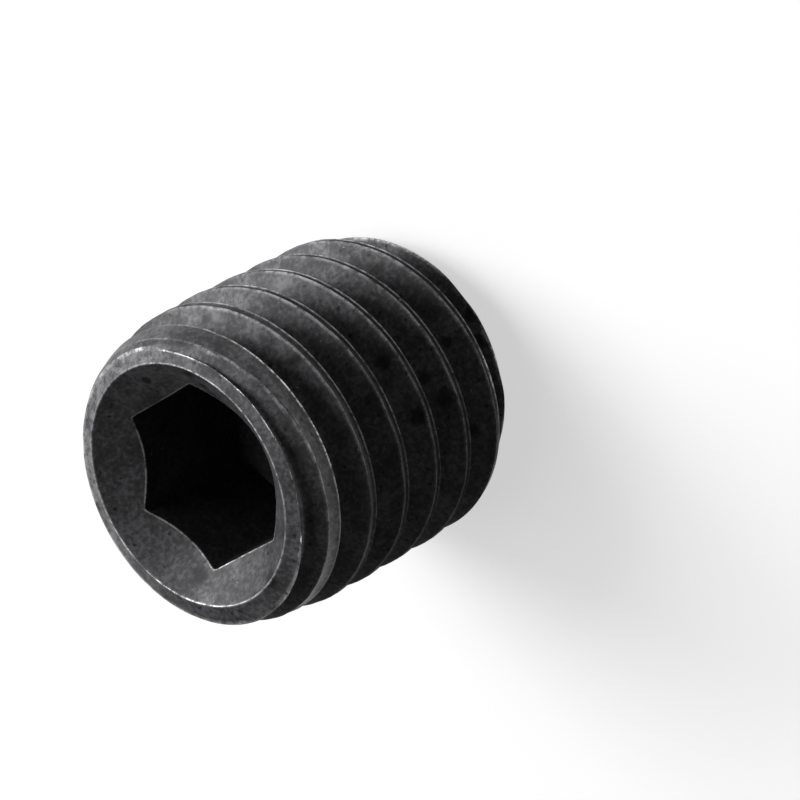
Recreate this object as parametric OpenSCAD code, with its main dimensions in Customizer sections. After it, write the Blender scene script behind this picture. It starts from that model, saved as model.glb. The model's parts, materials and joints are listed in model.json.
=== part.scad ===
// Grub set screw: a headless threaded stud with a hexagon socket in one end
// and a cup point at the other. One solid, turned, socketed and threaded.
// Millimetres. The screw stands on its point: +Z runs up the axis to the
// socket end, the origin is the middle of the point, and a corner of the
// hexagon socket faces +X.

/* [Thread] */
// Nominal diameter of the thread
thread_d = 12; // [11.5:0.1:14]
// Distance from one thread to the next
pitch = 1.75; // [1:0.05:2]
// How far the finished crests lie inside the nominal diameter, on the radius
crest_drop = 0.14; // [0:0.01:0.2]
// Full angle between the two flanks of a thread
thread_angle = 60; // [50:1:65]
// Radius at the bottom of the groove
root_round = 0.25; // [0.1:0.01:0.28]
// Depth of the first groove's middle below the socket end, on the +X side
first_groove = 0.28; // [-1:0.01:1.5]
// Straight steps that make one turn of the thread
turn_steps = 48; // [24:4:64]

/* [Body] */
// Length over both ends
screw_len = 12; // [9:0.5:20]

/* [Socket end] */
// Size of the hexagon key, across flats
key_size = 6; // [4:0.1:6.5]
// Play between the key and the socket, across flats
key_play = 0.05; // [0:0.01:0.15]
// Depth of the hexagon from the end face
socket_depth = 6; // [3:0.1:6.5]
// Full angle of the drill point under the hexagon
drill_angle = 120; // [110:1:140]
// Diameter of the countersink at the end face
sink_d = 8.9; // [8:0.05:9.5]
// Full angle of the countersink
sink_angle = 100; // [80:1:120]
// Width of the flat rim round the countersink
rim_w = 0.5; // [0.2:0.01:0.6]
// Angle of the outer chamfer to the end face
end_chamfer = 58; // [30:1:65]
// How far the chamfer ends inside the crests, on the radius
end_shoulder = 0.41; // [0.1:0.01:0.6]
// Angle to the axis of the run-in that follows, where the crests grow to full height
end_run_in = 9.5; // [5:0.5:20]

/* [Point] */
// Outer diameter of the point, where it meets what it grips
point_d = 8; // [6:0.05:9.5]
// Width of the flat edge round the cup
edge_w = 0.25; // [0.15:0.01:0.5]
// Full angle of the cup
cup_angle = 120; // [100:1:130]
// Angle of the point's chamfer to the end face
point_chamfer = 30; // [20:1:50]
// How far that chamfer ends inside the crests, on the radius
point_shoulder = 0.44; // [0.2:0.01:0.9]
// Angle to the axis of the run-in that follows, where the crests grow to full height
point_run_in = 18.5; // [10:0.5:40]

/* [Hidden] */

// Steps that draw a full circle
$fn = 2 * turn_steps;
// How far a cut runs past the surface that it opens
past = 0.05;

nominal_r = thread_d / 2;
crest_r = nominal_r - crest_drop;
flank_slope = tan(thread_angle / 2);

// Half width of the groove at the nominal diameter, where the crest is an eighth of the pitch
groove_half = pitch * 7 / 16;
// Radius at which the two flanks would meet if the groove were sharp
sharp_r = nominal_r - groove_half / flank_slope;
// Middle of the arc at the bottom of the groove
root_centre_r = sharp_r + root_round / sin(thread_angle / 2);
// Straight steps of that arc
root_steps = 3;
// Half width of the groove between the finished crests
mouth_half = (crest_r - sharp_r) * flank_slope;
// The threaded rod starts and ends this many turns clear of both end faces
spare_turns = 2;

// The run-ins leave the rod past its crests, so that they cut every thread that they meet
clear_r = crest_r + past;

socket_af = key_size + key_play;
socket_corner_d = socket_af / cos(30);
sink_r = sink_d / 2;
face_r = sink_r + rim_w;
point_r = point_d / 2;
cup_r = point_r - edge_w;

// Where each chamfer turns into its run-in, and where that leaves the rod
end_shoulder_r = crest_r - end_shoulder;
end_chamfer_h = (end_shoulder_r - face_r) * tan(end_chamfer);
end_run_in_h = (clear_r - end_shoulder_r) / tan(end_run_in);
point_shoulder_r = crest_r - point_shoulder;
point_chamfer_h = (point_shoulder_r - point_r) * tan(point_chamfer);
point_run_in_h = (clear_r - point_shoulder_r) / tan(point_run_in);

// Depth of a cone from its mouth radius to its tip
function cone_depth(mouth_radius, full_angle) = mouth_radius / tan(full_angle / 2);

// One point of the groove's bottom arc, as radius and height above the groove's middle
function root_point(turned) = [
    root_centre_r - root_round * cos(turned),
    root_round * sin(turned)
];

// One pitch of the thread's outline: a crest's upper edge, the groove's bottom arc and the
// next crest's lower edge
function thread_outline() =
    let (reach = 90 - thread_angle / 2)
    concat(
        [[crest_r, -mouth_half]],
        [for (i = [0 : root_steps]) root_point(-reach + 2 * reach * i / root_steps)],
        [[crest_r, mouth_half]]
    );

// A rod threaded from end to end. Its side is a grid: a column of outline points stands at each
// step of the turn, each column a step higher than the one before, and the last column meets the
// first one a whole pitch up. Each end is a shallow spiral stair, closed by a fan to the axis.
module threaded_rod() {
    outline = thread_outline();
    per_pitch = len(outline);
    turns = ceil(screw_len / pitch) + 2 * spare_turns;
    rows = turns * per_pitch;
    lowest = screw_len - first_groove - (turns - spare_turns) * pitch;
    function at(column, row) = column * rows + row;
    side_points = [
        for (column = [0 : turn_steps - 1])
            for (row = [0 : rows - 1])
                let (
                    turned = 360 * column / turn_steps,
                    p = outline[row % per_pitch],
                    height = lowest + pitch * (floor(row / per_pitch) + column / turn_steps)
                )
                [p[0] * cos(turned), p[0] * sin(turned), height + p[1]]
    ];
    axis_bottom = len(side_points);
    axis_top = axis_bottom + 1;
    axis_points = [
        [0, 0, lowest - pitch],
        [0, 0, lowest + (turns + 1) * pitch]
    ];
    // The four corners of one cell of the grid, split into two faces
    function cell(low, high, low_next, high_next) = [
        [low, high, low_next],
        [high, high_next, low_next]
    ];
    side = [
        for (column = [0 : turn_steps - 2])
            for (row = [0 : rows - 2])
                each cell(at(column, row), at(column, row + 1), at(column + 1, row), at(column + 1, row + 1))
    ];
    last = turn_steps - 1;
    seam = [
        for (row = [0 : rows - per_pitch - 2])
            each cell(at(last, row), at(last, row + 1), at(0, row + per_pitch), at(0, row + per_pitch + 1))
    ];
    bottom_edge = concat(
        [for (column = [0 : last]) at(column, 0)],
        [for (row = [per_pitch : -1 : 0]) at(0, row)]
    );
    top_edge = concat(
        [for (column = [0 : last]) at(column, rows - 1)],
        [for (row = [rows - 2 : -1 : rows - 1 - per_pitch]) at(last, row)],
        [at(0, rows - 1)]
    );
    bottom_fan = [
        for (i = [0 : len(bottom_edge) - 2]) [axis_bottom, bottom_edge[i], bottom_edge[i + 1]]
    ];
    top_fan = [
        for (i = [0 : len(top_edge) - 2]) [axis_top, top_edge[i + 1], top_edge[i]]
    ];
    polyhedron(
        points = concat(side_points, axis_points),
        faces = concat(side, seam, bottom_fan, top_fan),
        convexity = 12
    );
}

// What the ends leave of the rod: faces, chamfers, run-ins, countersink and cup
module ends() {
    rotate_extrude()
        polygon([
            [0, cone_depth(cup_r, cup_angle)],
            [cup_r, 0],
            [point_r, 0],
            [point_shoulder_r, point_chamfer_h],
            [clear_r, point_chamfer_h + point_run_in_h],
            [clear_r, screw_len - end_chamfer_h - end_run_in_h],
            [end_shoulder_r, screw_len - end_chamfer_h],
            [face_r, screw_len],
            [sink_r, screw_len],
            [0, screw_len - cone_depth(sink_r, sink_angle)]
        ]);
}

// The hexagon socket with its drill point, open at the socket end
module socket() {
    translate([0, 0, screw_len - socket_depth])
        cylinder(h = socket_depth + past, d = socket_corner_d, $fn = 6);
    drill_depth = cone_depth(socket_af / 2, drill_angle);
    translate([0, 0, screw_len - socket_depth - drill_depth])
        cylinder(h = drill_depth, r1 = 0, r2 = socket_af / 2);
}

module set_screw() {
    color("#2b2b2d")
        difference() {
            intersection() {
                threaded_rod();
                ends();
            }
            socket();
        }
}

set_screw();
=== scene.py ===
"""Looks of a hexagon socket set screw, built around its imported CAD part.

The screw stands on its point, with its axis on +Z. Its body is made again here with a much finer
thread, small radii on its edges and a black oxide finish, inside the CAD part's own box.
"""

import json
import logging
import math
from collections.abc import Callable
from dataclasses import dataclass, field
from enum import Enum

import bmesh
import bpy
from mathutils import Matrix, Vector, noise

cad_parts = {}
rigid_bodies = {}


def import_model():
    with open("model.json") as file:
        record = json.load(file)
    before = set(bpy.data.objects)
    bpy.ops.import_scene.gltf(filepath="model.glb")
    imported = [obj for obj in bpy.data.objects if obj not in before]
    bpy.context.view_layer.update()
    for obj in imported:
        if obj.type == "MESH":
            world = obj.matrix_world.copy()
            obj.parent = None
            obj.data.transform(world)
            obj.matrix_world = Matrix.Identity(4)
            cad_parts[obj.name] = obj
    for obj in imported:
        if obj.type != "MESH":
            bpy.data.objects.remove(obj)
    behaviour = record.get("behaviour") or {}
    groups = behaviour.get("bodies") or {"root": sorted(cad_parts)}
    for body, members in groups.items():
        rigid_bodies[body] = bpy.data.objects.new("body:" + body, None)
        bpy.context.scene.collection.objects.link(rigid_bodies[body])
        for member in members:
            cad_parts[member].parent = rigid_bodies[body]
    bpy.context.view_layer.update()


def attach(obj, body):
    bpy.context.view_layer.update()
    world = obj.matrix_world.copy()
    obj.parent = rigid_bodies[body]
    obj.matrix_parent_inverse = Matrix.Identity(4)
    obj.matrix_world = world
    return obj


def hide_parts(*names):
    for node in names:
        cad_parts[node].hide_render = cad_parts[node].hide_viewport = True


MM = 0.001
WHITE = (1.0, 1.0, 1.0, 1.0)
# Rise of a 60 degree thread's flank: how far the radius grows for each millimetre along the axis
FLANK_RISE = math.sqrt(3)
# Mouth radius of a 120 degree cone over its depth
CONE_120 = math.sqrt(3)
# Half of a hexagon's size across flats over its corner's distance from the middle, and half the
# width of a 60 degree thread's root arc over its radius
COS_30 = math.cos(math.radians(30))
# Distances, in mm, within which points count as one: where the swept thread closes on itself, in a
# cut, and in the finished mesh
SEAM_GAP = 1e-4
CUT_GAP = 1e-5
WELD_GAP = 1e-3
# Radius, in mm, of the last ring before it is drawn together on the axis
TIP_R = 1e-4
# Decimals of a radian to which two angles count as the same
ANGLE_DIGITS = 5
# First points of an end's section, which the thread's sheet already covers: its foot and the two
# holding points that follow
COVERED = 3
log = logging.getLogger("set_screw")

Socket = bpy.types.NodeSocket
Profile = list[tuple[float, float]]
Corner = tuple[float, float, float]


def linear(sheet_hex: str) -> tuple[float, float, float, float]:
    """Turns an sRGB hex colour into Blender's linear one.

    Args:
        sheet_hex: The colour as six hex digits after a number sign.

    Returns:
        Red, green, blue and an alpha of 1.
    """
    parts = [int(sheet_hex[i : i + 2], 16) / 255 for i in (1, 3, 5)]
    r, g, b = (c / 12.92 if c <= 0.04045 else ((c + 0.055) / 1.055) ** 2.4 for c in parts)
    return r, g, b, 1.0


def add_node(
    tree: bpy.types.NodeTree, kind: str, links: dict | None = None, **settings: object
) -> bpy.types.Node:
    """Adds one node with its settings, values and links.

    Args:
        tree: The node tree that gets it.
        kind: The node's type name without the word ShaderNode.
        links: What goes into each input, by its name or number: a socket is linked, a value is set.
        **settings: The node's own properties.

    Returns:
        The new node.
    """
    made = tree.nodes.new("ShaderNode" + kind)
    for name, value in settings.items():
        setattr(made, name, value)
    for name, value in (links or {}).items():
        if isinstance(value, Socket):
            tree.links.new(value, made.inputs[name])
        else:
            made.inputs[name].default_value = value
    return made


def per_mm(size_mm: float) -> float:
    """Turns the size of a pattern into its scale on Object coordinates.

    Args:
        size_mm: Width of one cell of the pattern.

    Returns:
        The scale, in cells per metre.
    """
    return 1 / (size_mm * MM)


def soft_min(a: float, b: float, blend: float) -> float:
    """Takes the smaller of two values, rounded where they cross.

    Args:
        a: One value.
        b: The other one.
        blend: Difference between the two below which the crossing is rounded.

    Returns:
        The smaller value, or up to a quarter of blend less where they cross.
    """
    h = max(blend - abs(a - b), 0.0) / blend
    return min(a, b) - h * h * blend / 4


def along(stations: Profile, at: float) -> float:
    """Value at one place on a line of straight stretches.

    Args:
        stations: Pairs of place and value, by rising place.
        at: The place.

    Returns:
        The value there, held level beyond both ends.
    """
    if at <= stations[0][0]:
        return stations[0][1]
    for (x0, y0), (x1, y1) in zip(stations, stations[1:]):
        if at <= x1:
            return y0 + (y1 - y0) * (at - x0) / (x1 - x0)
    return stations[-1][1]


def rounded(corners: list[Corner], steps: int, hold: float) -> Profile:
    """Rounds the corners of a profile.

    Args:
        corners: Radius, height and corner radius of each corner; ends and sharp ones have 0.
        steps: Straight steps of each rounded corner.
        hold: Distance between the two further points past each end of an arc, which keep the surface
        beside it flat and its wear and painted highlight narrow.

    Returns:
        The profile's points, with an arc in place of each rounded corner.
    """
    points: Profile = []
    for i, (r, z, bend) in enumerate(corners):
        if bend == 0:
            points.append((r, z))
            continue
        here = Vector((r, z))
        back = Vector(corners[i - 1][:2]) - here
        ahead = Vector(corners[i + 1][:2]) - here
        cut = bend / math.tan(back.angle(ahead) / 2)
        start = here + back.normalized() * cut
        end = here + ahead.normalized() * cut
        points += [tuple(start + back.normalized() * hold * k) for k in (2, 1)]
        for k in range(steps + 1):
            t = k / steps
            points.append(tuple(start.lerp(here, t).lerp(here.lerp(end, t), t)))
        points += [tuple(end + ahead.normalized() * hold * k) for k in (1, 2)]
    return points


class Lay(Enum):
    """Which way a threaded end faces."""

    UP = 1
    DOWN = -1


@dataclass(frozen=True)
class Spots:
    """Soft round spots scattered over a surface, one or none to a cell.

    A spot's radius is given as a part of its cell, and the smallest and the full middle as parts of
    the largest spot and of each spot. The share is how many of the cells have a spot, from 0 to 1.
    """

    spacing_mm: float
    radius: float
    share: float
    smallest: float = 0.4
    full_middle: float = 0.35

    def mask(self, tree: bpy.types.NodeTree, place: Socket) -> Socket:
        """Draws the spots.

        Args:
            tree: The material's nodes.
            place: Where the pattern is read.

        Returns:
            A mask that is 1 in the middle of a spot and 0 between them.
        """
        scale = per_mm(self.spacing_mm)
        cells = add_node(tree, "TexVoronoi", {"Vector": place, "Scale": scale}).outputs
        chance = add_node(tree, "SeparateColor", {"Color": cells["Color"]}).outputs
        reach = add_node(
            tree,
            "MapRange",
            {"Value": chance["Green"], "To Min": self.radius * self.smallest, "To Max": self.radius},
        ).outputs["Result"]
        level = add_node(tree, "Math", {0: cells["Distance"], 1: reach}, operation="DIVIDE").outputs[0]
        soft = add_node(
            tree,
            "MapRange",
            {"Value": level, "From Min": self.full_middle, "From Max": 1.0, "To Min": 1.0, "To Max": 0.0},
            clamp=True,
            interpolation_type="SMOOTHSTEP",
        ).outputs["Result"]
        drawn = add_node(
            tree, "Math", {0: chance["Red"], 1: self.share}, operation="LESS_THAN"
        ).outputs[0]
        return add_node(tree, "Math", {0: soft, 1: drawn}, operation="MULTIPLY").outputs[0]


@dataclass(frozen=True)
class BlackOxideSteel:
    """Heat-treated alloy steel, thread rolled, then blacked in a hot oxide bath.

    The oxide is thin and follows the scaly skin below it, so the eye sees a mottled charcoal grey with
    soft darker stains, small pits and grains, and bare steel where the edges have rubbed. The rubbed edges
    also carry painted highlight, strongest on the lit side, small bright specks are painted glints, and
    inward creases and the socket are darkened as painted shade.
    """

    deep: str = "#404042"
    mid: str = "#505052"
    pale: str = "#6a6a6d"
    # Dark tone of stains and pits, also used as painted shade in creases and the socket
    stain_and_shade_tone: str = "#161617"
    # Bare steel, lighter than real steel as painted highlight
    bare_and_highlight: str = "#f8f8fa"
    # Places on the mottling, from 0 to 1, where the oxide is deep, middling and pale
    tone_stops: tuple[float, float, float] = (0.41, 0.5, 0.6)
    # Sizes of the patterns. The real skin's grain is a few hundredths of a millimetre, too fine to
    # show at this distance, so it is drawn coarser
    patch_mm: float = 1.1
    grain_mm: float = 0.17
    rub_mm: float = 1.2
    bead_mm: float = 0.3
    # Stains and pits have ragged outlines: how far they wander, and over what distance
    wander_mm: float = 0.3
    wander_size_mm: float = 0.35
    stains: Spots = Spots(spacing_mm=1.3, radius=0.42, share=0.4)
    pits: Spots = Spots(spacing_mm=0.34, radius=0.36, share=0.5)
    # Small specks of bare steel, painted bright as glints
    glint_specks: Spots = Spots(spacing_mm=0.5, radius=0.11, share=0.2)
    # How far stains and the painted shade in creases and the socket cover the oxide, and how bright a speck
    # of bare steel painted as a glint is
    stain_and_shade_cover: float = 0.8
    glint_speck_level: float = 0.6
    # Turned faces blacken lighter than rolled ones, and the socket is darkened as painted shade
    turned_lift: float = 0.022
    socket_shade: float = 0.62
    # The oxide is a poor mirror; rubbed steel is smoother and shines as metal
    metallic: float = 0.2
    bare_metallic: float = 0.7
    bare_rough: float = 0.32
    gloss: float = 0.3
    relief_mm: float = 0.012

    def oxide(
        self, tree: bpy.types.NodeTree, ragged: Socket, mottle: Socket, bend: Socket, turned_and_socket_shade: Socket
    ) -> Socket:
        """Colours the oxide, with its stains and pits, and painted shade in inward creases and in the
        socket.

        Args:
            tree: The material's nodes.
            ragged: Where spots are read.
            mottle: The mottling, from 0 to 1.
            bend: How tightly the surface bends, below 0 where inwards, where it gets painted shade.
            turned_and_socket_shade: 1 on turned faces, -1 in the socket, where it gets painted shade.

        Returns:
            The oxide's colour.
        """
        lifted = add_node(
            tree, "Math", {0: turned_and_socket_shade, 1: self.turned_lift, 2: mottle}, operation="MULTIPLY_ADD"
        ).outputs[0]
        tone = add_node(tree, "ValToRGB", {"Fac": lifted})
        deep_stop, mid_stop, pale_stop = self.tone_stops
        ramp = tone.color_ramp
        ramp.elements[0].position = deep_stop
        ramp.elements[0].color = linear(self.deep)
        ramp.elements[1].position = pale_stop
        ramp.elements[1].color = linear(self.pale)
        ramp.elements.new(mid_stop).color = linear(self.mid)
        # Painted shade: inward creases are darkened towards the dark tone
        crease_shade = add_node(tree, "Math", {0: bend, 1: -1.0}, operation="MULTIPLY").outputs[0]
        # Painted shade: the socket is darkened towards the dark tone
        socket_shaded = add_node(tree, "Math", {0: turned_and_socket_shade, 1: -self.socket_shade}, operation="MULTIPLY").outputs[0]
        spots = add_node(
            tree,
            "Math",
            {0: self.stains.mask(tree, ragged), 1: self.pits.mask(tree, ragged)},
            operation="MAXIMUM",
        ).outputs[0]
        spots_and_crease_shade = add_node(tree, "Math", {0: spots, 1: crease_shade}, operation="MAXIMUM").outputs[0]
        stains_and_shade = add_node(
            tree, "Math", {0: spots_and_crease_shade, 1: socket_shaded}, operation="MAXIMUM", use_clamp=True
        ).outputs[0]
        stain_and_shade_amount = add_node(tree, "Math", {0: stains_and_shade, 1: self.stain_and_shade_cover}, operation="MULTIPLY").outputs[0]
        return add_node(
            tree,
            "Mix",
            {"Factor": stain_and_shade_amount, "A": tone.outputs["Color"], "B": linear(self.stain_and_shade_tone)},
            data_type="RGBA",
        ).outputs["Result"]

    def bared_and_highlit(self, tree: bpy.types.NodeTree, place: Socket, ragged: Socket, bend: Socket) -> Socket:
        """Finds where bare steel and painted highlight show: on rubbed edges, brightest on the lit side,
        broken up into beads, and in small specks painted as glints.

        Args:
            tree: The material's nodes.
            place: Where the wear's patterns are read.
            ragged: Where spots are read.
            bend: How tightly the surface bends, above 0 where outwards, made stronger on the lit side as
                painted highlight.

        Returns:
            A mask from 0, oxide, to 1, bare steel and painted highlight.
        """
        # Painted highlight: outward edges, strongest on the lit side, brighten towards bare steel
        rub = add_node(
            tree,
            "TexNoise",
            {"Vector": place, "Scale": per_mm(self.rub_mm), "Detail": 2.0, "Roughness": 0.6},
        ).outputs["Fac"]
        stretch = add_node(
            tree, "MapRange", {"Value": rub, "From Min": 0.34, "From Max": 0.54, "To Min": 0.35}, clamp=True
        ).outputs["Result"]
        bead = add_node(
            tree,
            "TexNoise",
            {"Vector": place, "Scale": per_mm(self.bead_mm), "Detail": 4.0, "Roughness": 0.85},
        ).outputs["Fac"]
        beads = add_node(
            tree, "MapRange", {"Value": bead, "From Min": 0.4, "From Max": 0.56, "To Min": 0.1}, clamp=True
        ).outputs["Result"]
        broken = add_node(tree, "Math", {0: stretch, 1: beads}, operation="MULTIPLY").outputs[0]
        rubbed_and_highlit = add_node(
            tree, "Math", {0: bend, 1: broken}, operation="MULTIPLY", use_clamp=True
        ).outputs[0]
        # Painted glints: small bright specks of bare steel
        glint_specks = add_node(
            tree,
            "Math",
            {0: self.glint_specks.mask(tree, ragged), 1: self.glint_speck_level},
            operation="MULTIPLY",
        ).outputs[0]
        return add_node(
            tree, "Math", {0: rubbed_and_highlit, 1: glint_specks}, operation="MAXIMUM", use_clamp=True
        ).outputs[0]

    def make(self) -> bpy.types.Material:
        """Builds the material.

        Returns:
            The black oxide finish with its mottling, stains and pits, specks painted as glints, worn edges
            with painted highlight, and painted shade in creases and the socket.
        """
        material = bpy.data.materials.new("black_oxide_alloy_steel")
        material.use_nodes = True
        tree = material.node_tree
        tree.nodes.clear()
        place = add_node(tree, "TexCoord").outputs["Object"]
        bend = add_node(tree, "Attribute", attribute_name="edge_wear_highlight_and_crease_shade").outputs["Fac"]
        turned_and_socket_shade = add_node(tree, "Attribute", attribute_name="turned_and_socket_shade").outputs["Fac"]
        patch = add_node(
            tree,
            "TexNoise",
            {"Vector": place, "Scale": per_mm(self.patch_mm), "Detail": 5.0, "Roughness": 0.62},
        ).outputs["Fac"]
        grain = add_node(
            tree,
            "TexNoise",
            {"Vector": place, "Scale": per_mm(self.grain_mm), "Detail": 2.0, "Roughness": 0.6},
        ).outputs["Fac"]
        # The mottling is the mean of patches and grain
        both = add_node(tree, "Math", {0: patch, 1: grain}, operation="ADD").outputs[0]
        mottle = add_node(tree, "Math", {0: both, 1: 0.5}, operation="MULTIPLY").outputs[0]
        wander = add_node(
            tree, "TexNoise", {"Vector": place, "Scale": per_mm(self.wander_size_mm), "Detail": 2.0}
        ).outputs["Color"]
        pushed = add_node(
            tree, "VectorMath", {0: wander, 1: (self.wander_mm * MM,) * 3}, operation="MULTIPLY"
        ).outputs[0]
        ragged = add_node(tree, "VectorMath", {0: place, 1: pushed}, operation="ADD").outputs[0]
        oxide = self.oxide(tree, ragged, mottle, bend, turned_and_socket_shade)
        bare_and_highlight = self.bared_and_highlit(tree, place, ragged, bend)
        # Bare steel and painted highlight over the oxide
        colour = add_node(
            tree, "Mix", {"Factor": bare_and_highlight, "A": oxide, "B": linear(self.bare_and_highlight)}, data_type="RGBA"
        ).outputs["Result"]
        # Paler patches are a little smoother
        oxide_rough = add_node(
            tree,
            "MapRange",
            {"Value": patch, "From Min": 0.3, "From Max": 0.7, "To Min": 0.52, "To Max": 0.38},
        ).outputs["Result"]
        rough = add_node(
            tree, "Mix", {"Factor": bare_and_highlight, "A": oxide_rough, "B": self.bare_rough}, data_type="FLOAT"
        ).outputs["Result"]
        metal = add_node(
            tree, "MapRange", {"Value": bare_and_highlight, "To Min": self.metallic, "To Max": self.bare_metallic}
        ).outputs["Result"]
        relief = add_node(
            tree, "Bump", {"Strength": 0.3, "Distance": self.relief_mm * MM, "Height": mottle}
        ).outputs["Normal"]
        shader = add_node(
            tree,
            "BsdfPrincipled",
            {
                "Base Color": colour,
                "Metallic": metal,
                "Roughness": rough,
                "Specular IOR Level": self.gloss,
                "Normal": relief,
            },
        )
        add_node(tree, "OutputMaterial", {"Surface": shader.outputs["BSDF"]})
        return material


@dataclass(frozen=True)
class MattTable:
    """Matt white laminate table top, pressed smooth: an even pale ground that keeps a soft shadow."""

    ground: str = "#d4d4d4"
    own_glow: float = 0.58

    def make(self) -> bpy.types.Material:
        """Builds the material.

        Returns:
            A matt white that the camera and mirrors see a little brighter than the lamps make it.
        """
        material = bpy.data.materials.new("matt_white_laminate")
        material.use_nodes = True
        tree = material.node_tree
        tree.nodes.clear()
        matt = add_node(tree, "BsdfDiffuse", {"Color": linear(self.ground)}).outputs["BSDF"]
        rays = add_node(tree, "LightPath").outputs
        plain = add_node(
            tree, "Math", {0: rays["Is Camera Ray"], 1: rays["Is Glossy Ray"]}, operation="MAXIMUM"
        ).outputs[0]
        seen = add_node(
            tree, "Math", {0: plain, 1: rays["Is Transmission Ray"]}, operation="MAXIMUM"
        ).outputs[0]
        level = add_node(tree, "Math", {0: seen, 1: self.own_glow}, operation="MULTIPLY").outputs[0]
        glow = add_node(tree, "Emission", {"Color": WHITE, "Strength": level}).outputs["Emission"]
        both = add_node(tree, "AddShader", {0: matt, 1: glow}).outputs["Shader"]
        add_node(tree, "OutputMaterial", {"Surface": both})
        return material


@dataclass
class Thread:
    """Coarse rolled thread, in millimetres."""

    pitch: float = 1.75
    nominal_r: float = 6.0
    # How far the flanks lie inside the nominal thread's, on the radius
    flank_drop: float = 0.155
    root_round: float = 0.25
    # Depth of the first groove's middle below the socket end, on the +X side
    first_groove: float = 0.28
    # Depth of the hollow between a crest's two lips, and half the width of the widest land that has
    # all of it; the wider lands near the socket end were rolled less and are flatter
    lip_dish: float = 0.09
    dished_half_land: float = 0.22
    soften: float = 0.03
    # Height of the crests' unevenness, its long and short waves per millimetre, and the height of the
    # short ones beside the long ones
    unevenness: float = 0.02
    long_waves: float = 0.9
    short_waves: float = 2.7
    short_share: float = 0.6
    # The rolled crests reach their full height some way in: depth from the socket end, and radius
    crests: tuple[tuple[float, float], ...] = (
        (0.0, 5.48),
        (1.0, 5.5),
        (1.5, 5.55),
        (2.4, 5.75),
        (2.9, 5.8),
        (4.5, 5.84),
        (6.2, 5.86),
    )

    def sharp_r(self) -> float:
        """Works out how deep the groove would be if it were sharp.

        Returns:
            Radius where the two flanks would meet. At the nominal radius the land is an eighth of
            the pitch wide, so half the groove is 7/16 of it.
        """
        return self.nominal_r - self.pitch * 7 / 16 * FLANK_RISE - self.flank_drop

    def mouth(self, crest_r: float) -> float:
        """Measures the groove between crests.

        Args:
            crest_r: Radius of the crests.

        Returns:
            Half the groove's width between them.
        """
        return (crest_r - self.sharp_r()) / FLANK_RISE

    def radius(self, off: float, crest_r: float) -> float:
        """Radius of the finished thread.

        Args:
            off: Distance along the axis from the middle of the groove, up to half a pitch.
            crest_r: Radius of the crests there.

        Returns:
            The radius there, with a rounded root, and a crest a little hollow between two lips.
        """
        off = abs(off)
        flank = self.sharp_r() + off * FLANK_RISE
        if off < self.root_round * COS_30:
            flank = self.sharp_r() + 2 * self.root_round - math.sqrt(self.root_round**2 - off**2)
        half_land = self.pitch / 2 - self.mouth(crest_r)
        across = min(1.0, (self.pitch / 2 - off) / half_land)
        dish = self.lip_dish * min(1.0, self.dished_half_land / half_land)
        crest = crest_r - dish * (1 - across**2)
        return soft_min(flank, crest, self.soften)

    def stations(self) -> list[float]:
        """Chooses where the outline has points, closest together where it bends.

        Returns:
            Places of one pitch of the outline, from one crest's middle to the next, at full height.
        """
        mouth = self.mouth(self.crests[-1][1])
        half = self.pitch / 2
        root_and_flank = [0.06, 0.12, 0.18, 0.24, 0.32, 0.4, 0.48, 0.56, 0.62]
        from_mouth = [-0.07, -0.03, -0.01, 0.006, 0.025, 0.055]
        side = root_and_flank + [mouth + step for step in from_mouth]
        side.append((mouth + half + from_mouth[-1]) / 2)
        return [-half] + [-s for s in reversed(side)] + [0.0] + side

    def uneven(self, place: Vector) -> float:
        """Reads what the rolling left uneven.

        Args:
            place: A place on the thread.

        Returns:
            How much the crest is higher or lower than true there.
        """
        long_wave = noise.noise(place * self.long_waves)
        short_wave = noise.noise(place * self.short_waves)
        return self.unevenness * (long_wave + self.short_share * short_wave)

    def rolled(self, off: float, depth: float, uneven: float) -> tuple[float, float]:
        """Moves a place of the full-height outline to where the crests are lower.

        Args:
            off: Distance along the axis from the middle of the groove, at full height.
            depth: Depth from the socket end.
            uneven: What is added to the crest's radius.

        Returns:
            The distance and radius of that place in the local outline, lips on lips.
        """
        full = self.mouth(self.crests[-1][1])
        crest_r = along(list(self.crests), depth) + uneven - self.unevenness
        here = self.mouth(crest_r)
        half = self.pitch / 2
        far = abs(off)
        if far <= full:
            moved = far * here / full
        else:
            moved = here + (far - full) * (half - here) / (half - full)
        return math.copysign(moved, off), self.radius(moved, crest_r)


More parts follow.
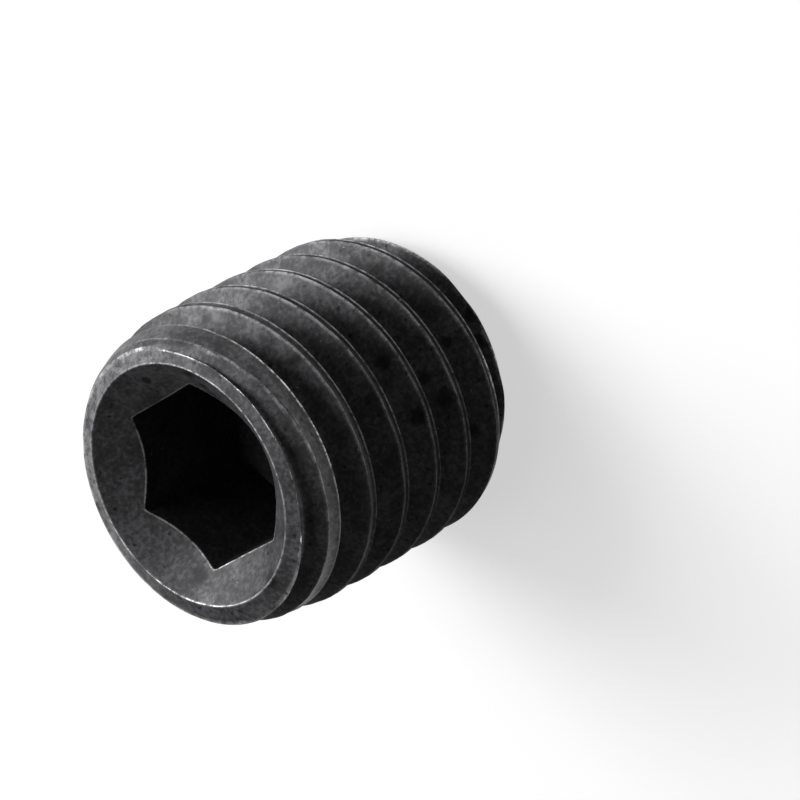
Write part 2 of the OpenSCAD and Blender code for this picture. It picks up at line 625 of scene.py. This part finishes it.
@dataclass
class ScrewBody:
    """The whole set screw: threaded outside, countersunk hexagon socket above, cup point below.

    Lengths are in millimetres, angles in degrees.
    """

    thread: Thread = field(default_factory=Thread)
    length: float = 12.0
    socket_af: float = 6.05
    socket_depth: float = 6.0
    # The hexagon's corners stop short of sharp by the first length, blended in over the second
    corner_trim: float = 0.03
    corner_blend: float = 0.06
    # How far inside the hexagon's flats the drill point starts
    drill_gap: float = 0.02
    sink_r: float = 4.45
    sink_half_angle: float = 50.0
    # The socket end's turned chamfer: depth and radius. It holds down to end_zone
    end_chamfer: tuple[tuple[float, float], ...] = (
        (0.0, 4.95),
        (0.47, 5.285),
        (1.0, 5.5),
        (1.6, 5.7),
        (3.0, 6.3),
    )
    end_zone: float = 4.0
    # The socket end was turned this much off the thread's axis
    end_run_out: float = 0.09
    point_r: float = 4.0
    cup_r: float = 3.75
    point_shoulder_r: float = 5.42
    point_chamfer_h: float = 0.82
    point_run_in_h: float = 1.46
    # Radius past every crest, where the point's run-in ends
    clear_r: float = 5.92
    # How far the rim falls outwards, how far it is dented, and its dents to a radian
    rim_fall: float = 0.15
    rim_dings: float = 0.03
    ding_waves: float = 4.0
    # Radii of the turned edges: the rim's outer edge, its inner edge, the hexagon's mouth, the point
    edge_round: float = 0.05
    sink_round: float = 0.03
    mouth_round: float = 0.035
    point_round: float = 0.04
    round_steps: int = 4
    # Distance between the points that keep the surface flat beside a rounded edge
    hold: float = 0.03
    # An end's section starts this far down its chamfer, which only gives the first edge its direction
    foot_depth: float = 0.2
    # Width over which the thread runs into the turned ends
    turned_blend: float = 0.03
    # Bends tighter than this many radians in a millimetre are rubbed bare, with painted highlight, if
    # outward and get painted shade if inward, in full at twice that; faces nearer than least_apart count as
    # that far apart
    wear_and_shade_from: float = 4.0
    least_apart: float = 0.01
    # How far a worn edge's wear and painted highlight reach beside it
    wear_and_highlight_width: float = 0.055
    # Painted highlight: the rim and the crests are made barer on the sides where they catch the light, and
    # the crests weaker elsewhere: angles round the axis
    rim_highlight: float = 0.36
    rim_highlight_at: float = 140.0
    crest_highlight_at: float = 20.0
    least_crest_highlight: float = 0.28
    # How far below its outer edge the rim still gets its painted highlight as one
    rim_skirt: float = 0.05
    # Turned steel is as light as it gets over the first half millimetre and fades out over the next
    turned_to: float = 1.0
    turned_fade: float = 0.5
    # How far past its walls the socket counts as socket and gets painted shade
    socket_skirt: float = 0.02
    # Edges that bend more than this are drawn sharp
    sharp_from: float = 38.0
    turn_steps: int = 240
    # Spare turns swept past the point, and turns swept from the first groove up; the cuts take off
    # what is over
    turns_below: int = 3
    turns_above: int = 2

    def reach(self, z: float, angle: float) -> float:
        """Largest radius that the turned ends leave.

        Args:
            z: Height over the point.
            angle: Angle round the axis, in radians.

        Returns:
            The radius there.
        """
        depth = self.length - z
        if depth < self.end_zone:
            return along(list(self.end_chamfer), depth) - self.end_run_out * math.sin(angle)
        run_in_z = self.point_chamfer_h + self.point_run_in_h
        shoulder = (self.point_chamfer_h, self.point_shoulder_r)
        return along([(0.0, self.point_r), shoulder, (run_in_z, self.clear_r)], z)

    def rim_z(self) -> float:
        """Finds the thread's upper end.

        Returns:
            Height at which the thread's sheet ends and the rim's rounding starts.
        """
        return self.length - self.rim_fall - self.edge_round

    def first_groove_z(self) -> float:
        """Finds the thread's start.

        Returns:
            Height of the first groove's middle, on the +X side.
        """
        return self.length - self.thread.first_groove

    def hexagon(self, angle: float) -> float:
        """Shape of the socket, with a corner facing +X.

        Args:
            angle: Angle round the axis, in radians.

        Returns:
            Distance from the axis to the socket's wall.
        """
        turned = math.degrees(angle) % 60 - 30
        flat = self.socket_af / 2 / math.cos(math.radians(turned))
        return soft_min(flat, self.socket_af / 2 / COS_30 - self.corner_trim, self.corner_blend)

    def section(self, foot: Corner, corners: list[Corner]) -> Profile:
        """Rounds the section of one end.

        Args:
            foot: Start of the section on the end's chamfer, as a sharp corner.
            corners: The corners that follow, down to the axis.

        Returns:
            The rounded section, without the points that the thread's sheet already covers.
        """
        return rounded([foot] + corners, self.round_steps, self.hold)[COVERED:]

    def socket_path(self, angle: float) -> Profile:
        """Section of the socket end at one angle.

        Args:
            angle: Angle round the axis, in radians.

        Returns:
            Radius and height of each point, from the outer chamfer to the axis.
        """
        top = self.length
        wall = self.hexagon(angle)
        cone = math.tan(math.radians(self.sink_half_angle))
        spot = Vector((math.cos(angle), math.sin(angle), 0.0))
        dings = self.rim_dings * noise.noise(spot * self.ding_waves)
        rim_r = self.end_chamfer[0][1] - self.end_run_out * math.sin(angle)
        mouth_z = top - (self.sink_r - wall) / cone
        floor_z = top - self.socket_depth
        inscribed = self.socket_af / 2 - self.drill_gap
        half_way = (self.sink_r + wall) / 2
        corners = [
            (rim_r + dings, top - self.rim_fall, self.edge_round),
            (self.sink_r, top, self.sink_round),
            (half_way, (top + mouth_z) / 2, 0.0),
            (wall, mouth_z, self.mouth_round),
            (wall, floor_z, 0.0),
            (inscribed, floor_z, 0.0),
            (0.0, floor_z - inscribed / CONE_120, 0.0),
        ]
        foot_z = top - self.foot_depth
        return self.section((self.reach(foot_z, angle), foot_z, 0.0), corners)

    def point_path(self, angle: float) -> Profile:
        """Section of the point at one angle.

        Args:
            angle: Angle round the axis, in radians.

        Returns:
            Radius and height of each point, from the point's chamfer to the axis.
        """
        corners = [
            (self.point_r, 0.0, self.point_round),
            (self.cup_r, 0.0, self.point_round),
            (0.0, self.cup_r / CONE_120, 0.0),
        ]
        return self.section((self.reach(self.foot_depth, angle), self.foot_depth, 0.0), corners)

    def wind_thread(self, bm: bmesh.types.BMesh) -> None:
        """Sweeps a line of the thread's stations once round the axis while it climbs one pitch.

        Args:
            bm: The mesh that gets the sheet.
        """
        pitch = self.thread.pitch
        first = self.first_groove_z()
        lowest = math.ceil(self.length / pitch) + self.turns_below
        outline = []
        for turn in range(-lowest, self.turns_above):
            for off in self.thread.stations():
                outline.append(bm.verts.new((self.thread.nominal_r, 0, first + turn * pitch + off)))
        edges = [bm.edges.new(pair) for pair in zip(outline, outline[1:])]
        bmesh.ops.spin(
            bm,
            geom=outline + edges,
            cent=(0, 0, 0),
            axis=(0, 0, 1),
            dvec=(0, 0, pitch / self.turn_steps),
            angle=math.tau,
            steps=self.turn_steps,
            use_duplicate=False,
        )
        bmesh.ops.remove_doubles(bm, verts=bm.verts[:], dist=SEAM_GAP)

    def roll_thread(self, bm: bmesh.types.BMesh) -> None:
        """Presses the swept sheet to the thread's form, with lower crests near the socket end.

        Args:
            bm: The mesh.
        """
        pitch = self.thread.pitch
        first = self.first_groove_z()
        for v in bm.verts:
            angle = math.atan2(v.co.y, v.co.x) % math.tau
            over = v.co.z - first - pitch * angle / math.tau
            off = (over + pitch / 2) % pitch - pitch / 2
            moved, r = self.thread.rolled(off, self.length - v.co.z, self.thread.uneven(v.co))
            v.co = (r * math.cos(angle), r * math.sin(angle), v.co.z + moved - off)

    def cut_level(self, bm: bmesh.types.BMesh, height: float, end: Lay | None = None) -> None:
        """Cuts the sheet across at one height.

        Args:
            bm: The mesh.
            height: Height of the cut.
            end: The end whose spare length falls off beyond the cut; without one, both sides stay.
        """
        bmesh.ops.bisect_plane(
            bm,
            geom=bm.verts[:] + bm.edges[:] + bm.faces[:],
            dist=CUT_GAP,
            plane_co=(0, 0, height),
            plane_no=(0, 0, (end or Lay.UP).value),
            clear_outer=end is not None,
        )

    def turn_ends(self, bm: bmesh.types.BMesh) -> None:
        """Cuts the sheet where the turned ends bend, then takes it in to what they leave.

        Args:
            bm: The mesh.
        """
        self.cut_level(bm, self.length - self.end_chamfer[1][0])
        self.cut_level(bm, self.point_chamfer_h)
        self.cut_level(bm, self.rim_z(), Lay.UP)
        self.cut_level(bm, self.point_round, Lay.DOWN)
        for v in bm.verts:
            r = math.hypot(v.co.x, v.co.y)
            angle = math.atan2(v.co.y, v.co.x)
            kept = soft_min(r, self.reach(v.co.z, angle), self.turned_blend)
            v.co.x *= kept / r
            v.co.y *= kept / r

    def close_end(
        self, bm: bmesh.types.BMesh, height: float, path: Callable[[float], Profile]
    ) -> None:
        """Carries an open edge inwards, one ring for each point of a section, and closes it.

        Args:
            bm: The mesh.
            height: Height of the open edge.
            path: Gives the section at an angle, whose last point is on the axis.
        """
        ring = [
            e
            for e in bm.edges
            if e.is_boundary and all(abs(v.co.z - height) < WELD_GAP for v in e.verts)
        ]
        sections: dict[float, Profile] = {}
        for step in range(len(path(0.0))):
            made = bmesh.ops.extrude_edge_only(bm, edges=ring)["geom"]
            for v in (g for g in made if isinstance(g, bmesh.types.BMVert)):
                angle = math.atan2(v.co.y, v.co.x)
                key = round(angle, ANGLE_DIGITS)
                if key not in sections:
                    sections[key] = path(angle)
                r, z = sections[key][step]
                keep = max(r, TIP_R)
                v.co = (keep * math.cos(angle), keep * math.sin(angle), z)
            ring = [g for g in made if isinstance(g, bmesh.types.BMEdge)]
        tip = list({v for e in ring for v in e.verts})
        bmesh.ops.pointmerge(bm, verts=tip, merge_co=(0, 0, tip[0].co.z))

    def mark_bends(self, bm: bmesh.types.BMesh, bend: bmesh.types.BMLayerItem) -> None:
        """Writes at each vertex how tightly the surface bends: outwards up to 1, inwards down to -1.

        Args:
            bm: The mesh.
            bend: The layer that is written.
        """
        for e in bm.edges:
            if len(e.link_faces) == 2:
                here, there = (face.calc_center_median() for face in e.link_faces)
                apart = max((here - there).length, self.least_apart)
                tightness = e.calc_face_angle_signed(0) / apart
                over = max(0.0, min(1.0, (abs(tightness) - self.wear_and_shade_from) / self.wear_and_shade_from))
                for v in e.verts:
                    if over > abs(v[bend]):
                        v[bend] = math.copysign(over, tightness)

    def highlight_lit_sides(self, bm: bmesh.types.BMesh, bend: bmesh.types.BMLayerItem) -> None:
        """Paints highlight on the lit sides: makes the rim and the crests barer there, and the crests' wear
        weaker elsewhere.

        Args:
            bm: The mesh.
            bend: The layer that is changed.
        """
        for v in bm.verts:
            if math.hypot(v.co.x, v.co.y) <= self.sink_r:
                continue
            angle = math.atan2(v.co.y, v.co.x)
            if self.length - v.co.z < self.rim_fall + self.rim_skirt:
                facing = max(0.0, math.cos(angle - math.radians(self.rim_highlight_at)))
                v[bend] = max(v[bend], self.rim_highlight * facing)
            elif v[bend] > 0:
                facing = math.cos(angle - math.radians(self.crest_highlight_at))
                v[bend] *= max(self.least_crest_highlight, facing) ** 2

    def spread_wear_and_highlight(self, bm: bmesh.types.BMesh, bend: bmesh.types.BMLayerItem) -> None:
        """Lets each worn edge spread its wear and painted highlight over its neighbourhood, less with
        distance.

        Args:
            bm: The mesh.
            bend: The layer that is changed.
        """
        marked = {v: v[bend] for v in bm.verts if v[bend] > 0}
        for v, level in marked.items():
            for e in v.link_edges:
                near = e.other_vert(v)
                near[bend] = max(near[bend], level * max(0.0, 1 - e.calc_length() / self.wear_and_highlight_width))

    def mark_edges(self, bm: bmesh.types.BMesh) -> None:
        """Writes where edges are worn and carry painted highlight, and where inward creases get painted
        shade, for the finish to read.

        Args:
            bm: The mesh.
        """
        bend = bm.verts.layers.float.new("edge_wear_highlight_and_crease_shade")
        self.mark_bends(bm, bend)
        self.highlight_lit_sides(bm, bend)
        self.spread_wear_and_highlight(bm, bend)

    def mark_turning_and_socket_shade(self, bm: bmesh.types.BMesh) -> None:
        """Writes 1 where turned, -1 down in the socket, where the finish paints shade, and 0 where rolled.

        Args:
            bm: The mesh.
        """
        turned_and_socket_shade = bm.verts.layers.float.new("turned_and_socket_shade")
        over_cup = self.length / 4
        for v in bm.verts:
            depth = self.length - v.co.z
            wall = self.hexagon(math.atan2(v.co.y, v.co.x))
            if math.hypot(v.co.x, v.co.y) < wall + self.socket_skirt and v.co.z > over_cup:
                v[turned_and_socket_shade] = -1.0
            elif depth < self.turned_to:
                v[turned_and_socket_shade] = min(1.0, (self.turned_to - depth) / self.turned_fade)

    def build(self) -> bpy.types.Object:
        """Makes the screw as one closed mesh.

        Returns:
            The object, in metres, at the origin.
        """
        bm = bmesh.new()
        self.wind_thread(bm)
        self.roll_thread(bm)
        self.turn_ends(bm)
        self.close_end(bm, self.rim_z(), self.socket_path)
        self.close_end(bm, self.point_round, self.point_path)
        bmesh.ops.remove_doubles(bm, verts=bm.verts[:], dist=WELD_GAP)
        bmesh.ops.recalc_face_normals(bm, faces=bm.faces[:])
        self.mark_edges(bm)
        self.mark_turning_and_socket_shade(bm)
        bmesh.ops.scale(bm, vec=(MM, MM, MM), verts=bm.verts[:])
        for face in bm.faces:
            face.smooth = True
        mesh = bpy.data.meshes.new("set_screw_body")
        bm.to_mesh(mesh)
        bm.free()
        mesh.set_sharp_from_angle(angle=math.radians(self.sharp_from))
        made = bpy.data.objects.new("set_screw_body", mesh)
        bpy.context.scene.collection.objects.link(made)
        return made

    def dress(self, piece: bpy.types.Object, finish: BlackOxideSteel) -> None:
        """Gives the body its finish and lets it stand for the CAD node.

        Args:
            piece: The body.
            finish: What it is finished in.
        """
        piece.data.materials.append(finish.make())
        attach(piece, "root")
        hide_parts("set_screw")


@dataclass
class PhotoCamera:
    """The camera at the photograph's viewing angle.

    Its place, lens and sensor are in millimetres, its angles in degrees, what it sees in metres.
    """

    place: tuple[float, float, float] = (83.893, -0.878, 84.753)
    tilt: float = 44.989
    roll: float = -118.36
    lens: float = 145.56
    sensor: float = 36.0
    sees_from: float = 0.01
    sees_to: float = 5.0

    def axes(self) -> tuple[Vector, Vector, Vector]:
        """Works out how the picture lies in the part's frame.

        Returns:
            Directions of the picture's right, its top, and back to the camera.
        """
        tilt, roll = math.radians(self.tilt), math.radians(self.roll)
        back = Vector((math.cos(tilt), 0, math.sin(tilt)))
        level = Vector((0, 1, 0))
        over = back.cross(level)
        right = level * math.cos(roll) + over * math.sin(roll)
        return right, back.cross(right), back

    def build(self) -> None:
        """Places the camera and makes it the scene's own."""
        right, top, back = self.axes()
        data = bpy.data.cameras.new("camera")
        data.lens = self.lens
        data.sensor_width = self.sensor
        data.sensor_fit = "HORIZONTAL"
        data.clip_start = self.sees_from
        data.clip_end = self.sees_to
        camera = bpy.data.objects.new("camera", data)
        turn = Matrix((right, top, back)).transposed().to_4x4()
        camera.matrix_world = Matrix.Translation(Vector(self.place) * MM) @ turn
        bpy.context.scene.collection.objects.link(camera)
        bpy.context.scene.camera = camera


@dataclass
class SoftBox:
    """A square studio lamp; lengths in metres, power in watts.

    Where it hangs is given as steps to the picture's right, to its top, and back to the camera.
    """

    name: str
    toward: tuple[float, float, float]
    power: float
    distance: float = 0.35
    side: float = 0.18

    def hang(self, axes: tuple[Vector, Vector, Vector], aim: Vector) -> None:
        """Hangs the lamp.

        Args:
            axes: The picture's right, top and back, in the part's frame.
            aim: What it is aimed at.
        """
        way = sum((a * t for a, t in zip(axes, self.toward)), Vector()).normalized()
        data = bpy.data.lights.new(self.name, "AREA")
        data.shape = "SQUARE"
        data.size = self.side
        data.energy = self.power
        lamp = bpy.data.objects.new(self.name, data)
        turn = way.to_track_quat("Z", "Y").to_matrix().to_4x4()
        lamp.matrix_world = Matrix.Translation(aim + way * self.distance) @ turn
        bpy.context.scene.collection.objects.link(lamp)


@dataclass
class Studio:
    """Pale table, soft lamps aimed at the middle of the screw, and an even dim room."""

    table_half: float = 0.6
    room: float = 0.055
    aim_height: float = 6 * MM
    lamps: tuple[SoftBox, ...] = (
        SoftBox("key_softbox", (-0.95, 0.33, -0.02), power=0.59),
        SoftBox("side_softbox", (-0.90, 0.18, 0.38), power=0.46),
        SoftBox("low_softbox", (-0.80, -0.22, 0.56), power=0.2),
    )

    def build(self, camera: PhotoCamera) -> None:
        """Lays the table, hangs the lamps and sets the room's level.

        Args:
            camera: The camera that the lamps are placed by.
        """
        bm = bmesh.new()
        bmesh.ops.create_grid(bm, x_segments=1, y_segments=1, size=self.table_half)
        mesh = bpy.data.meshes.new("table_top")
        bm.to_mesh(mesh)
        bm.free()
        table = bpy.data.objects.new("table_top", mesh)
        table.data.materials.append(MattTable().make())
        bpy.context.scene.collection.objects.link(table)
        for lamp in self.lamps:
            lamp.hang(camera.axes(), Vector((0, 0, self.aim_height)))
        world = bpy.data.worlds.new("room")
        world.use_nodes = True
        world.node_tree.nodes["Background"].inputs["Color"].default_value = WHITE
        world.node_tree.nodes["Background"].inputs["Strength"].default_value = self.room
        bpy.context.scene.world = world
        bpy.context.scene.view_settings.view_transform = "Standard"


def main() -> None:
    """Builds the screw, the camera and the studio; the CAD part stays in the scene, hidden."""
    logging.basicConfig(level=logging.INFO, format="%(name)s: %(message)s")
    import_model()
    screw = ScrewBody()
    piece = screw.build()
    screw.dress(piece, BlackOxideSteel())
    log.info("body: %d faces", len(piece.data.polygons))
    camera = PhotoCamera()
    camera.build()
    Studio().build(camera)
    log.info("camera, table and lamps are in place")


if __name__ == "__main__":
    main()
